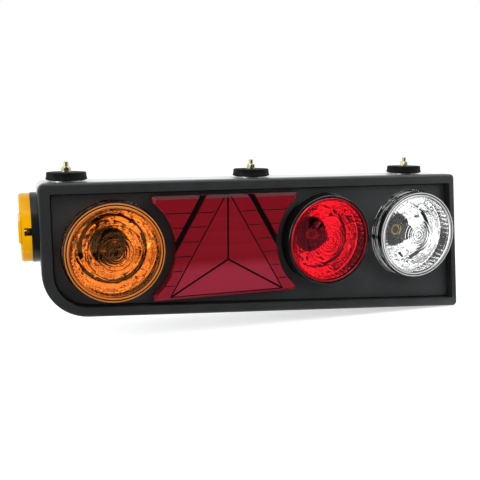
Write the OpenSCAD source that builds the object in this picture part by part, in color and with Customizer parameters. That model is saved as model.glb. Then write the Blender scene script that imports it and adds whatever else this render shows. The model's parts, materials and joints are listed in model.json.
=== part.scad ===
/* [Front frame] */
// Width of the plate seen left of the indicator lens
plate_left = 11.3; // [10:0.1:20]
// Width of the plate seen right of the reversing lens, at the height of the lamps
plate_right = 3; // [2.5:0.1:20]
// Width of the plate seen above the tail lens
plate_above = 5.7; // [4:0.1:15]
// Width of the plate seen below the indicator lens
plate_below = 7.5; // [7:0.1:20]
// Fall of the bottom edge towards the right, in degrees
bottom_fall = 3.7; // [2.5:0.1:4.5]
// Lean of the right edge, outwards at the bottom, in degrees
right_lean = 5.5; // [4:0.1:6]
// Depth of the frame from front to back
frame_d = 17; // [16.5:0.5:20]
// Radius of the big lower left corner
corner_big = 56; // [50:1:60]
// Radius of the upper left corner
corner_top = 9; // [8:0.5:12]
// Radius of the two right corners
corner_right = 6; // [5:0.5:8]
// Rounding of the frame's front edge
edge_r = 2.4; // [1:0.1:3]
// Width of the frame's left band
band_left = 13; // [12:0.1:14]
// Width of the frame's right band
band_right = 8.6; // [8:0.1:9]
// Width of the frame's top band
band_top = 12.6; // [11.5:0.1:13]
// Width of the frame's bottom band
band_bottom = 12; // [11:0.1:13]
// Width of the ledge inside the frame that carries the lamp plate
ledge_w = 3; // [2.4:0.1:3.2]

/* [Lamp plate] */
// Depth of the plate's face behind the frame's face
plate_deep = 10; // [8:0.5:11]
// Thickness of the plate
plate_t = 4; // [3.5:0.1:5]
// Groove between the plate and the frame
plate_gap = 1.8; // [1:0.1:2.2]

/* [Round lamps] */
// Diameter of a lens at its front
lens_d = 122; // [118:0.5:123]
// How far a lens's flange stands out past its front
flange_out = 2; // [1.4:0.1:2.4]
// Height of a lens's rim above the plate
lens_h = 21; // [16:0.5:24]
// Rise of a lens's domed face above its rim
lens_dome = 2.6; // [1:0.1:4]
// Wall of a lens
lens_wall = 2.6; // [2:0.1:3]
// Number of prisms in a lens's ring
prism_n = 60; // [36:4:72]
// Width of a lens's flange, from its edge to the plate's opening
flange_w = 5; // [4.5:0.1:6]
// Space between the indicator lens and the stop lens
tail_space = 164.2; // [150:0.1:180]
// Space between the stop lens and the reversing lens
lens_space = 17.4; // [14:0.1:30]
// Thickness of the lens seals
seal_t = 1; // [0.6:0.1:1.5]
// Depth of a lamp body behind the plate
lamp_body_h = 50; // [46:1:60]
// Wall of a lamp body
lamp_body_wall = 2.4; // [2:0.1:3]
// Number of facets round a reflector
facet_n = 28; // [20:2:36]
// Wall of a reflector
reflector_wall = 1.6; // [1.2:0.1:2]
// Diameter of a bulb's glass
bulb_d = 25; // [22:0.5:26]
// Diameter of a bulb's metal cap
bulb_cap_d = 15; // [14:0.5:16]
// Diameter of a bulb holder's collar
holder_d = 24; // [22:0.5:25]

/* [Tail lens] */
// How far the tail lens's tips reach past the round lenses' near edges
tail_tip = 14.2; // [12:0.1:16]
// Rise of the tail lens's top edge above the tops of the round lenses
tail_over = 4.7; // [3:0.1:6]
// Gap between the tail lens's curves and the round lenses
tail_curve_gap = 13.8; // [12:0.1:16]
// Height of the tail lens above the plate
tail_h = 15; // [13:0.5:17]
// Wall of the tail lens
tail_wall = 2.5; // [2:0.1:3]
// Bevel round the tail lens's face
tail_bevel = 4; // [3:0.5:5]
// Side of the triangle reflector's outline
triangle_side = 155; // [150:1:158]
// Height of the triangle's centre, negative below the lamps' axes
triangle_y = -17.4; // [-19:0.1:-15]
// Spacing of the tail lens's level grooves
groove_pitch = 18.2; // [17:0.1:19]
// Width of the two slanted channels
channel_w = 7.6; // [6:0.1:9]
// Depth of the two slanted channels
channel_deep = 4; // [3:0.1:5]

/* [Rear housing] */
// Space between the bulb holders' tags and the back wall
back_space = 8.4; // [6:0.1:20]
// Wall of the housing
wall = 3; // [2.5:0.1:4]
// Step of the housing inside the frame's outline
housing_step = 1; // [0.5:0.1:1.5]
// Width of the housing seal
housing_seal_w = 4; // [3:0.1:5]
// Diameter of the frame screws
screw_d = 4; // [3.5:0.1:4.5]
// Diameter of the housing's screw bosses
boss_d = 10; // [9.5:0.5:11]
// Width of the stiffening ribs
rib_w = 2; // [1.5:0.1:2.5]

/* [Mounts] */
// Left mount's axis from the frame's left end
stud_left = 36.3; // [34:0.1:50]
// Right mount's axis from the frame's right end, at the height of the lamps
stud_right = 63.6; // [60:0.1:80]
// Mounts' axes behind the frame's face
stud_y = 44.9; // [43:0.1:52]
// Diameter of the mount bolts
stud_d = 6; // [5:0.5:8]
// Length of the bolts above the buffers
stud_h = 13; // [12.5:0.5:20]
// Diameter of the rubber buffers
buffer_d = 50; // [44:1:54]
// Height of the rubber buffers
buffer_h = 10; // [8:0.5:14]
// Thickness of the steel plates under the buffers
buffer_plate_t = 2; // [1.5:0.1:3]
// Diameter of the steel plates under the buffers
buffer_plate_d = 38; // [32:1:44]

/* [Side marker] */
// Diameter of the marker's base
marker_d = 85; // [78:1:86]
// Height of the marker's centre above the lamps' axes
marker_z = 29; // [26:1:34]
// Marker's centre behind the frame's face
marker_y = 43.5; // [43:0.5:44]
// Thickness of the marker's base
marker_base_h = 8.5; // [7:0.5:10]
// Height of the marker's lens
marker_lens_h = 12.5; // [11:0.5:15]
// Rise of the band across the marker's lens
marker_band_h = 2; // [1:0.1:3]
// Wall of the marker's lens
marker_wall = 2.4; // [2:0.1:3]

/* [Cable gland] */
// Gland from the indicator lamp's axis
gland_x = 205; // [200:1:215]
// Height of the gland above the lamps' axes
gland_z = -45; // [-50:1:-40]
// Diameter of the gland's thread
gland_d = 16; // [12:1:18]
// Bore of the gland for the cable
gland_bore = 9; // [7:0.5:10]

/* [Hidden] */
$fn = 64;
fit = 0.3;
lens_r = lens_d / 2;
stop_x = lens_d + tail_space;
reversing_x = stop_x + lens_d + lens_space;
tail_x = stop_x / 2;
tail_half_w = tail_x - lens_r + tail_tip;
tail_half_h = lens_r + tail_over;
tail_curve_r = lens_r + tail_curve_gap;
inner_left = lens_r + plate_left;
inner_right = reversing_x + lens_r + plate_right;
inner_top = tail_half_h + plate_above;
inner_bottom = lens_r + plate_below;
frame_left = inner_left + band_left;
frame_right = inner_right + band_right;
frame_top = inner_top + band_top;
frame_bottom = inner_bottom + band_bottom;
corner_inner = corner_big - band_left;
plate_face = -plate_deep;
plate_back = plate_face - plate_t;
housing_front = -frame_d - seal_t;
holder_out = 6;
tag_len = 6;
flange_r = lens_r + flange_out;
open_r = flange_r - flange_w;
lens_base = plate_face + seal_t;
lens_rim = plate_face + lens_h;
spigot_wall = 1.8;
spigot_low = plate_back - 1;
flange_t = 2.2;
body_low = plate_back - lamp_body_h;
body_flange_t = 2.4;
body_flange_r = open_r + 2.4;
ear_r = 4.8;
ear_at = open_r + 5.4;
ear_angles = [60, 180, 300];
lamp_screw_d = 3.4;
reflector_rim = lens_rim - lens_wall - 1.7;
reflector_r = open_r - spigot_wall - fit - 0.4;
reflector_foot = 14;
reflector_low = body_low + reflector_foot;
bulb_hole_r = holder_d;
bulb_rise = 26;
bulb_z = reflector_low + bulb_rise;
holder_low = body_low - holder_out;
total_d = tag_len + back_space + wall - holder_low;
tail_face = plate_face + tail_h;
triangle_r = triangle_side / sqrt(3);
tray_h = 34;
tray_low = plate_back - tray_h;
tray_t = 2;
tray_wall_in = 8;
tail_bulb_d = 18;
tail_cap_d = 15;
tail_bulb_in = tray_wall_in + tray_t + tail_bulb_d / 2 + 0.3;
tail_bulb_y = tail_half_h - tail_bulb_in - 1.4;
tail_bulb_x = tail_x - sqrt(pow(tail_curve_r + tail_bulb_in, 2) - pow(tail_bulb_y, 2));
seat_z = frame_top - housing_step + buffer_plate_t + buffer_h;
washer_t = 1.6;
nut_t = 5;
nut_af = stud_d * 1.667;
bolt_head_t = 4;
marker_r = marker_d / 2;
marker_lens_r = marker_r - 0.8;
marker_screw_at = 0.8 * marker_r;
stud_x = (frame_right - stud_right - frame_left + stud_left) / 2;
stud_pitch = (frame_right - stud_right + frame_left - stud_left) / 2;
stud_places = [stud_x - stud_pitch, stud_x, stud_x + stud_pitch];
lamp_places = [0, stop_x, reversing_x];

// Places: the face frame has x to the right, y up and z towards the viewer, from the
// indicator lamp's axis at the frame's face. The model's origin is the middle mount's seat.
module at_face() {
    translate([-stud_x, -stud_y, -seat_z])
        rotate([90, 0, 0])
            children();
}

module at_lamp(x) {
    at_face()
        translate([x, 0, 0])
            children();
}

module at_marker() {
    translate([-stud_x - frame_left, marker_y - stud_y, marker_z - seat_z])
        rotate([0, -90, 0])
            rotate([0, 0, 90])
                children();
}

module at_studs() {
    for (x = stud_places)
        translate([x - stud_x, 0, 0])
            children();
}

// Outline of four straight sides with one radius for each corner
function unit(v) = v / norm(v);
function turned(v) = [-v[1], v[0]];
function edge_dir(p, i) = unit(p[(i + 1) % 4] - p[i % 4]);
function corner_centre(p, r, i) =
    let (a = -edge_dir(p, i + 3), b = edge_dir(p, i), m = unit(a + b),
         half = acos(a * b) / 2)
    p[i] + m * r[i] / sin(half);
corner_steps = 20;
function corner_arc(p, r, i) =
    let (a = -turned(edge_dir(p, i + 3)), b = -turned(edge_dir(p, i)),
         c = corner_centre(p, r, i), from = atan2(a[1], a[0]), turn = acos(a * b))
    [
        for (k = [0:corner_steps])
            let (t = from + turn * k / corner_steps)
            c + r[i] * [cos(t), sin(t)]
    ];

// Corners go round from the lower left one; the sides turn left
function corners(l, r, t, b) =
    let (fall = tan(bottom_fall), lean = tan(right_lean))
    let (rx = (r + b * lean) / (1 - fall * lean))
    [[-l, -b + l * fall], [rx, -b - rx * fall], [r - t * lean, t], [-l, t]];

module four_sides(p, r) polygon([for (i = [0:3]) each corner_arc(p, r, i)]);

function frame_corners(inset) =
    corners(frame_left - inset, frame_right - inset, frame_top - inset,
            frame_bottom - inset);
function frame_radii(inset) = [
    corner_big - inset,
    max(corner_right - inset, 1),
    max(corner_right - inset, 1),
    max(corner_top - inset, 1)
];
module frame_outline(inset) four_sides(frame_corners(inset), frame_radii(inset));

module recess_outline(inset) {
    p = corners(inner_left - inset, inner_right - inset, inner_top - inset,
                inner_bottom - inset);
    four_sides(p, [corner_inner - inset, 2.5, 2.5, 2.5]);
}

module slab(z0, z1) {
    translate([0, 0, z0])
        linear_extrude(z1 - z0)
            children();
}

// The places where the screws hold the frame on the housing, seen from the front
screw_in = 7.6;
function frame_spot(i, k) =
    let (p = frame_corners(screw_in))
    p[i] + (p[(i + 1) % 4] - p[i]) * k;
screw_places = [
    frame_spot(0, 0.11), frame_spot(0, 0.5), frame_spot(0, 0.985),
    frame_spot(2, 0.015), frame_spot(2, 0.38), frame_spot(2, 0.66), frame_spot(2, 0.99)
];
module at_frame_screws() {
    for (p = screw_places)
        translate([p[0], p[1], 0])
            children();
}

screw_len = 20;
screw_bite = 9;
screw_head_d = 7.4;
screw_head_h = 2.4;
screw_slot = 3.8;

// Black frame round the lamps, its front edge rounded, with the ledge that carries the plate
module front_frame() {
    color("#2b2d2e")
        difference() {
            at_face()
                difference() {
                    hull() {
                        slab(-frame_d, -edge_r) frame_outline(0);
                        slab(-frame_d, -edge_r * 0.6) frame_outline(edge_r * 0.08);
                        slab(-frame_d, -edge_r * 0.28) frame_outline(edge_r * 0.3);
                        slab(-frame_d, 0) frame_outline(edge_r);
                    }
                    slab(plate_back, 1) recess_outline(0);
                    slab(-frame_d - 1, plate_back + 1) recess_outline(ledge_w);
                    at_frame_screws()
                        slab(-frame_d - 1, -frame_d + screw_bite + 0.6) circle(d = screw_d);
                }
            at_marker()
                translate([-marker_screw_at, 0, -marker_screw_bite - 0.5])
                    cylinder(d = marker_screw_d, h = marker_screw_bite + 1);
        }
}

// Plate with openings for the lamps and a raised lip round the tail lens
module lamp_plate() {
    color("#242526")
        at_face()
            difference() {
                slab(plate_back, plate_face) recess_outline(plate_gap);
                for (x = lamp_places)
                    translate([x, 0, 0]) {
                        slab(plate_back - 1, 1) circle(r = open_r);
                        for (a = ear_angles)
                            rotate(a) translate([ear_at, 0, 0])
                                slab(plate_back - 1, plate_back + plate_t - 1)
                                    circle(d = lamp_screw_d);
                    }
                slab(plate_back - 1, 1) tail_outline(tail_lip);
                at_tray_screws()
                    slab(plate_back - 1, plate_back + plate_t - 1) circle(d = lamp_screw_d);
            }
}

module housing_seal() {
    color("#151515")
        at_face()
            difference() {
                slab(-frame_d - seal_t, -frame_d) frame_outline(housing_step + 0.6);
                slab(-frame_d - seal_t - 1, 0) frame_outline(housing_step + housing_seal_w + 0.6);
                at_frame_screws()
                    slab(-frame_d - seal_t - 1, 0) circle(d = boss_d - 3);
            }
}

rib_places = [70, 215, 356];
rib_h = 6;
gland_clear = 20;

// Pale housing: an open tray with screw bosses, ribs, and holes for bolts, marker and gland
module rear_housing() {
    color("#d9dbda")
        difference() {
            at_face()
                difference() {
                    union() {
                        difference() {
                            slab(-total_d, housing_front) frame_outline(housing_step);
                            slab(-total_d + wall, 1) frame_outline(housing_step + wall);
                        }
                        intersection() {
                            slab(-total_d + wall / 2, housing_front)
                                frame_outline(housing_step + wall / 2);
                            union() {
                                at_frame_screws()
                                    slab(-total_d, housing_front) circle(d = boss_d);
                                for (x = rib_places)
                                    slab(-total_d, -total_d + wall + rib_h)
                                        translate([x - rib_w / 2, -2 * frame_bottom])
                                            square([rib_w, 4 * frame_bottom]);
                            }
                        }
                    }
                    at_frame_screws() {
                        slab(-total_d - 1, housing_front + 1) circle(d = screw_d + 0.6);
                        slab(-total_d - 1, -frame_d + screw_bite - screw_len)
                            circle(d = boss_d - 2);
                    }
                    translate([gland_x, gland_z, 0])
                        slab(-total_d - 1, -total_d + wall + 1) circle(d = gland_d + fit);
                    translate([gland_x, gland_z, 0])
                        slab(-total_d + wall, -total_d + wall + gland_clear)
                            circle(d = gland_d * 1.6);
                }
            at_studs()
                translate([0, 0, -buffer_h - buffer_plate_t - wall - 6])
                    cylinder(d = stud_d + 0.6, h = wall + 12);
            at_marker() {
                translate([0, 0, -wall - 4])
                    cylinder(d = marker_wire_d, h = wall + 8);
                for (s = [-1, 1])
                    translate([s * marker_screw_at, 0, -wall - 4])
                        cylinder(d = marker_screw_d, h = wall + 8);
            }
        }
}

module frame_screws() {
    color("#8f9396")
        at_face()
            at_frame_screws()
                translate([0, 0, -frame_d + screw_bite - screw_len]) {
                    cylinder(d = screw_d, h = screw_len);
                    difference() {
                        translate([0, 0, -screw_head_h])
                            cylinder(d1 = screw_head_d - 2, d2 = screw_head_d, h = screw_head_h);
                        for (a = [0, 90])
                            rotate(a) translate([-screw_slot / 2, -0.5, -screw_head_h - 0.6])
                                cube([screw_slot, 1, 2]);
                    }
                }
}

// Half profile of a round lens: flange, spigot, leaning skirt, stepped rim and domed face
function lens_outer() = [
    [flange_r, lens_base],
    [flange_r, lens_base + flange_t],
    [lens_r + 0.9, lens_base + flange_t + 0.6],
    [lens_r, lens_rim - 2.6],
    [lens_r - 0.8, lens_rim - 0.8],
    [lens_r - 2.6, lens_rim],
    [lens_r - 4.2, lens_rim],
    [lens_r - 4.8, lens_rim - 0.9],
    [lens_r - 6.2, lens_rim - 0.9],
    [lens_r - 6.9, lens_rim]
];
function dome_z(r, top) =
    let (edge = lens_r - 6.9)
    top - lens_dome * (r / edge) * (r / edge);
function dome_points(from, to, n, drop) = [
    for (i = [0:n])
        let (r = from + (to - from) * i / n)
        [r, dome_z(r, lens_rim + lens_dome) - drop]
];
function lens_inner() = [
    [0, lens_rim + lens_dome - lens_wall],
    [4, lens_rim + lens_dome - lens_wall - 0.8],
    [4.4, lens_rim + lens_dome - lens_wall],
    [8, lens_rim + lens_dome - lens_wall - 0.9],
    [8.4, lens_rim + lens_dome - lens_wall - 0.1],
    [12, lens_rim + lens_dome - lens_wall - 1.0],
    [12.4, dome_z(12.4, lens_rim + lens_dome) - lens_wall]
];
module round_lens() {
    spigot_r = open_r - 0.15;
    difference() {
        rotate_extrude($fn = 96)
            polygon(concat(
                lens_outer(),
                dome_points(lens_r - 8, 0, 8, 0),
                lens_inner(),
                dome_points(20, lens_r - 8, 5, lens_wall),
                [[spigot_r - spigot_wall, lens_rim - lens_wall - 1.6],
                 [spigot_r - spigot_wall, spigot_low],
                 [spigot_r, spigot_low],
                 [spigot_r, lens_base]]
            ));
        for (i = [0:prism_n - 1])
            rotate(i * 360 / prism_n)
                translate([lens_r - 12.5, 0, lens_rim - lens_wall + 0.1])
                    rotate([0, 0, 45])
                        cylinder(d = 3.4, h = 1.1, $fn = 4);
    }
}

module lens_seal() {
    difference() {
        slab(plate_face, lens_base) circle(r = flange_r - 0.6);
        slab(plate_face - 1, lens_base + 1) circle(r = open_r + 0.4);
    }
}

// Faceted parabola: rings of flat facets, each ring turned by half a facet against the last
bowl_rings = [0, 0.16, 0.33, 0.5, 0.67, 0.84, 1];
rim_band = 2.5;
bowl_in = 3.2;
bowl_edge = reflector_r - rim_band;
focal = (pow(bowl_edge, 2) - pow(bulb_hole_r, 2)) / (4 * (plate_back - bowl_in - reflector_low));
function bowl_r(t) = bulb_hole_r + (bowl_edge - bulb_hole_r) * t;
function bowl_z(t) =
    reflector_low + (pow(bowl_r(t), 2) - pow(bulb_hole_r, 2)) / (4 * focal);
function ring(r, z, turn) = [
    for (j = [0:facet_n - 1])
        let (a = (j + turn) * 360 / facet_n)
        [r * cos(a), r * sin(a), z]
];
function bowl_ring(i) = ring(bowl_r(bowl_rings[i]), bowl_z(bowl_rings[i]), (i % 2) / 2);
function reflector_rings() = concat(
    [for (i = [0:len(bowl_rings) - 1]) bowl_ring(i)],
    [
        ring(bowl_edge + 0.6, bowl_z(1) + 1.5, 0),
        ring(bowl_edge + 1.2, reflector_rim, 0),
        ring(reflector_r, reflector_rim, 0),
        ring(reflector_r, bowl_z(1), 0),
        ring(bowl_r(0.5), bowl_z(0.5) - reflector_wall * 1.7, 0),
        ring(bulb_hole_r, reflector_low - reflector_wall * 1.4, 0)
    ]
);
// Closed surface through a list of rings, the last ring joined to the first
module ring_solid(rings) {
    n = len(rings[0]);
    m = len(rings);
    polyhedron(
        points = [for (r = rings) each r],
        faces = [
            for (i = [0:m - 1], j = [0:n - 1])
                let (a = i * n + j, b = i * n + (j + 1) % n,
                     c = ((i + 1) % m) * n + j, d = ((i + 1) % m) * n + (j + 1) % n)
                each (i % 2 == 1 && i < len(bowl_rings) - 1)
                    ? [[a, b, d], [a, d, c]]
                    : [[a, b, c], [b, d, c]]
        ],
        convexity = 8
    );
}
module faceted_reflector() ring_solid(reflector_rings());

// Bulb: round glass on a neck, and a metal cap with two bayonet pins and a lead contact
module bulb_glass(d, neck, z) {
    neck_low = z - d * 0.86;
    rotate_extrude() {
        intersection() {
            translate([0, z]) circle(d = d);
            translate([0, z - d]) square([d, 2 * d]);
        }
        translate([0, neck_low]) square([neck / 2, d * 0.86]);
    }
}

module bulb_cap(d, z0, z1) {
    translate([0, 0, z0]) cylinder(d = d, h = z1 - z0);
    translate([0, 0, z0 - 1.2]) cylinder(d = d * 0.4, h = 1.2);
}

module bulb_holder(d, cap_d, low, top, foot_d) {
    difference() {
        union() {
            translate([0, 0, low]) cylinder(d = foot_d, h = 4);
            translate([0, 0, low]) cylinder(d = d, h = top - low);
        }
        translate([0, 0, low + 3]) cylinder(d = cap_d, h = top - low);
        translate([0, 0, low + 1.8]) cylinder(d = cap_d * 0.4, h = 3);
    }
    for (s = [-1, 1])
        translate([s * 5 - 0.4, -3, low - tag_len]) cube([0.8, 6, tag_len]);
}

cap_top = bulb_z - bulb_d * 0.86;
cap_low = holder_low + 3;

module lamp_bulb() bulb_glass(bulb_d, bulb_cap_d - 2, bulb_z);
module lamp_bulb_cap() bulb_cap(bulb_cap_d, cap_low, cap_top);
module lamp_bulb_holder()
    bulb_holder(holder_d, bulb_cap_d, holder_low, body_low + 12, holder_d + 8);

// Black cup behind the plate, with a flange, three ears and a grooved tower round the holder
module lamp_body() {
    holder_r = holder_d / 2;
    collar = holder_r + 3;
    tower_r = bulb_hole_r - 0.6;
    tower_top = reflector_low + 2;
    difference() {
        union() {
            rotate_extrude()
                polygon([
                    [holder_r, body_low],
                    [collar, body_low],
                    [collar, tower_top - lamp_body_wall],
                    [tower_r - lamp_body_wall, tower_top - lamp_body_wall],
                    [tower_r - lamp_body_wall, body_low],
                    [tower_r + 4, body_low],
                    [open_r - 4, body_low + 20],
                    [open_r - 0.6, plate_back - body_flange_t - 4],
                    [body_flange_r, plate_back - body_flange_t],
                    [body_flange_r, plate_back],
                    [open_r - spigot_wall - 0.15, plate_back],
                    [open_r - spigot_wall - 0.15, plate_back - 1.4],
                    [open_r - 0.6 - lamp_body_wall, plate_back - body_flange_t - 4],
                    [open_r - 4 - lamp_body_wall, body_low + 20],
                    [tower_r + 3, body_low + lamp_body_wall],
                    [tower_r, body_low + lamp_body_wall],
                    [tower_r, tower_top],
                    [holder_r + 8, tower_top],
                    [holder_r + 8, tower_top - 1],
                    [holder_r + 6.6, tower_top - 1],
                    [holder_r + 6.6, tower_top],
                    [holder_r + 4, tower_top],
                    [holder_r + 4, tower_top - 1],
                    [holder_r + 2.6, tower_top - 1],
                    [holder_r + 2.6, tower_top],
                    [holder_r, tower_top]
                ]);
            for (a = ear_angles)
                rotate(a)
                    slab(plate_back - body_flange_t, plate_back) {
                        translate([ear_at, 0]) circle(r = ear_r);
                        translate([open_r - 1, -ear_r]) square([ear_at - open_r + 1, 2 * ear_r]);
                    }
        }
        for (a = ear_angles)
            rotate(a) translate([ear_at, 0, 0])
                slab(plate_back - body_flange_t - 1, plate_back + 1)
                    circle(d = lamp_screw_d + 0.5);
        slab(plate_back - 1, plate_back + 1) circle(r = open_r);
    }
}

module indicator_lens() color("#f08a1c", 0.6) at_lamp(0) round_lens();
module stop_lens() color("#d8141e", 0.6) at_lamp(stop_x) round_lens();
module reversing_lens() color("#eef2f4", 0.4) at_lamp(reversing_x) round_lens();
module indicator_seal() color("#161616") at_lamp(0) lens_seal();
module stop_seal() color("#161616") at_lamp(stop_x) lens_seal();
module reversing_seal() color("#161616") at_lamp(reversing_x) lens_seal();
module indicator_reflector() color("#c9ccce") at_lamp(0) faceted_reflector();
module stop_reflector() color("#c9ccce") at_lamp(stop_x) faceted_reflector();
module reversing_reflector() color("#c9ccce") at_lamp(reversing_x) faceted_reflector();
module indicator_bulb() color("#e8eef0", 0.5) at_lamp(0) lamp_bulb();
module stop_bulb() color("#e8eef0", 0.5) at_lamp(stop_x) lamp_bulb();
module reversing_bulb() color("#e8eef0", 0.5) at_lamp(reversing_x) lamp_bulb();
module indicator_bulb_cap() color("#b08d3c") at_lamp(0) lamp_bulb_cap();
module stop_bulb_cap() color("#b08d3c") at_lamp(stop_x) lamp_bulb_cap();
module reversing_bulb_cap() color("#b08d3c") at_lamp(reversing_x) lamp_bulb_cap();
module indicator_bulb_holder() color("#3a3a3a") at_lamp(0) lamp_bulb_holder();
module stop_bulb_holder() color("#3a3a3a") at_lamp(stop_x) lamp_bulb_holder();
module reversing_bulb_holder() color("#3a3a3a") at_lamp(reversing_x) lamp_bulb_holder();
module indicator_body() color("#1d1e1f") at_lamp(0) lamp_body();
module stop_body() color("#1d1e1f") at_lamp(stop_x) lamp_body();
module reversing_body() color("#1d1e1f") at_lamp(reversing_x) lamp_body();

module pan_screw(d, head_d, head_t, len) {
    cylinder(d = d, h = len);
    difference() {
        translate([0, 0, -head_t]) cylinder(d = head_d, h = head_t);
        for (a = [0, 90])
            rotate(a) translate([-head_d * 0.3, -0.4, -head_t - 1]) cube([head_d * 0.6, 0.8, 2]);
    }
}

module lamp_screws() {
    color("#9a9da0")
        for (x = lamp_places)
            at_lamp(x)
                for (a = ear_angles)
                    rotate(a)
                        translate([ear_at, 0, plate_back - body_flange_t])
                            pan_screw(lamp_screw_d, 6.4, 2, body_flange_t + plate_t - 1.2);
}

// Outline of the tail lens: a rectangle with a curve taken out round each neighbour lamp
tail_lip = 6.4;
module tail_outline(inset) {
    translate([tail_x, 0])
        difference() {
            square([2 * (tail_half_w - inset), 2 * (tail_half_h - inset)], center = true);
            for (s = [-1, 1])
                translate([s * tail_x, 0]) circle(r = tail_curve_r + inset, $fn = 96);
        }
}

// Solid form of the tail lens between two heights, its face edges bevelled
module tail_form(z0, z1, inset, bevel) {
    w = tail_half_w - inset;
    h = tail_half_h - inset;
    translate([tail_x, 0, 0])
        difference() {
            intersection() {
                rotate([90, 0, 0])
                    translate([0, 0, -h - 1])
                        linear_extrude(2 * h + 2)
                            polygon([[-w, z0], [w, z0], [w, z1 - bevel], [w - bevel, z1],
                                     [-w + bevel, z1], [-w, z1 - bevel]]);
                rotate([90, 0, 90])
                    translate([0, 0, -w - 1])
                        linear_extrude(2 * w + 2)
                            polygon([[-h, z0], [h, z0], [h, z1 - bevel], [h - bevel, z1],
                                     [-h + bevel, z1], [-h, z1 - bevel]]);
            }
            for (s = [-1, 1])
                translate([s * tail_x, 0, 0]) {
                    translate([0, 0, z0 - 1])
                        cylinder(r = tail_curve_r + inset, h = z1 - z0 + 2, $fn = 96);
                    translate([0, 0, z1 - bevel / 3])
                        cylinder(r1 = tail_curve_r + inset, r2 = tail_curve_r + inset + bevel / 3 + 1,
                                 h = bevel / 3 + 1, $fn = 96);
                }
        }
}

// A bar along a side of the triangle, moved out from it: side is -1 on the left and 1 on the right
channel_out = 24;
module slanted_bar(side, w, z0, z1) {
    translate([tail_x, triangle_y, 0])
        rotate(side > 0 ? -60 : 240)
            translate([0, side * (triangle_r / 2 + channel_out), 0])
                slab(z0, z1)
                    square([2 * triangle_side, w], center = true);
}

groove_w = 1.3;
groove_deep = 1.1;
groove_mid = 7.6;
groove_places = [for (i = [-3:2]) groove_mid + i * groove_pitch];

// Red lens: hollow, bevelled, with two slanted channels, level grooves and a sealing spigot
module tail_lens() {
    inside = tail_face - tail_wall;
    color("#a3121f", 0.75)
        at_face()
            difference() {
                union() {
                    difference() {
                        tail_form(plate_face + seal_t, tail_face, 0, tail_bevel);
                        tail_form(plate_face - 1, inside, tail_wall, tail_bevel - 1);
                    }
                    intersection() {
                        tail_form(plate_face + seal_t, tail_face - channel_deep + 1, 0.4, 0.2);
                        for (s = [-1, 1])
                            slanted_bar(s, channel_w + 2 * tail_wall, tail_face - channel_deep
                                        - tail_wall, tail_face - channel_deep + 1);
                    }
                    intersection() {
                        tail_form(plate_face + seal_t, tail_face - 1, 0.4, 0.2);
                        for (s = [-1, 1], e = [-1, 1])
                            slanted_wall(s, e, tail_face - channel_deep - tail_wall,
                                         inside + 0.2);
                    }
                    difference() {
                        slab(plate_face - 2, plate_face + seal_t + 1) tail_outline(tail_lip + 0.3);
                        slab(plate_face - 3, plate_face + seal_t + 2)
                            tail_outline(tail_lip + 0.3 + tail_wall);
                    }
                    difference() {
                        slab(plate_face + seal_t, plate_face + seal_t + 2) tail_outline(0);
                        slab(plate_face, plate_face + seal_t + 3)
                            tail_outline(tail_lip + 0.3 + tail_wall);
                    }
                }
                for (s = [-1, 1])
                    slanted_bar(s, channel_w, tail_face - channel_deep, tail_face + 1);
                difference() {
                    for (y = groove_places)
                        translate([tail_x - tail_half_w - 1, y - groove_w / 2,
                                   tail_face - groove_deep])
                            cube([2 * tail_half_w + 2, groove_w, 1 + groove_deep]);
                    translate([tail_x, triangle_y, 0])
                        slab(inside, tail_face + 2) triangle_2d(triangle_r + 2 * groove_w);
                }
            }
}

// Side wall of a slanted channel
module slanted_wall(side, edge, z0, z1) {
    translate([tail_x, triangle_y, 0])
        rotate(side > 0 ? -60 : 240)
            translate([0, side * (triangle_r / 2 + channel_out)
                       + edge * (channel_w / 2 + tail_wall / 2), 0])
                slab(z0, z1)
                    square([2 * triangle_side, tail_wall], center = true);
}

module tail_seal() {
    color("#161616")
        at_face()
            difference() {
                slab(plate_face, plate_face + seal_t) tail_outline(0.6);
                slab(plate_face - 1, plate_face + seal_t + 1) tail_outline(tail_lip + 0.3);
            }
}

// Three-cornered reflector in three sectors, each with rows of prisms on its back
tri_t = 3;
tri_row = 6.4;
spoke_w = 2;
tri_prism = 2.2;
tri_top = tail_face - channel_deep - tail_wall - 1;
module triangle_2d(r) rotate(90) circle(r = r, $fn = 3);
module triangle_reflector() {
    cut = tail_half_h - tail_wall - 3;
    color("#b3131d", 0.8)
        at_face()
            translate([tail_x, triangle_y, 0])
                difference() {
                    intersection() {
                        slab(tri_top - tri_t, tri_top) triangle_2d(triangle_r - 4);
                        translate([-triangle_r, -cut - triangle_y, tri_top - tri_t - 1])
                            cube([2 * triangle_r, 2 * cut, tri_t + 2]);
                    }
                    for (a = [90, 210, 330])
                        rotate(a)
                            translate([0, -spoke_w / 2, tri_top - 1])
                                cube([triangle_r, spoke_w, 2]);
                    for (i = [-7:10])
                        translate([-triangle_r, i * tri_row, tri_top - tri_t - tri_prism / sqrt(2)])
                            rotate([45, 0, 0])
                                cube([2 * triangle_r, tri_prism, tri_prism]);
                }
}

// Black walls under the lens's channels, with a foot that stands on the tray's floor
module tail_dividers() {
    color("#101010")
        at_face()
            intersection() {
                for (s = [-1, 1])
                    slanted_bar(s, channel_w - 2, tray_low + tray_t,
                                tail_face - channel_deep - tail_wall - fit);
                tail_form(tray_low, tail_face, tray_wall_in + tray_t + 0.4, 0.2);
            }
}

pillar_d = 6;
pillar_in = 24;
pillar_top_in = 20;
tray_screw_in = 28;
tray_screw_x = tail_half_w - tray_screw_in;
tray_screw_y = tail_half_h - tail_lip / 2;
module at_tray_screws() {
    for (sx = [-1, 1], sy = [-1, 1])
        translate([tail_x + sx * tray_screw_x, sy * tray_screw_y, 0])
            children();
}

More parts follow.
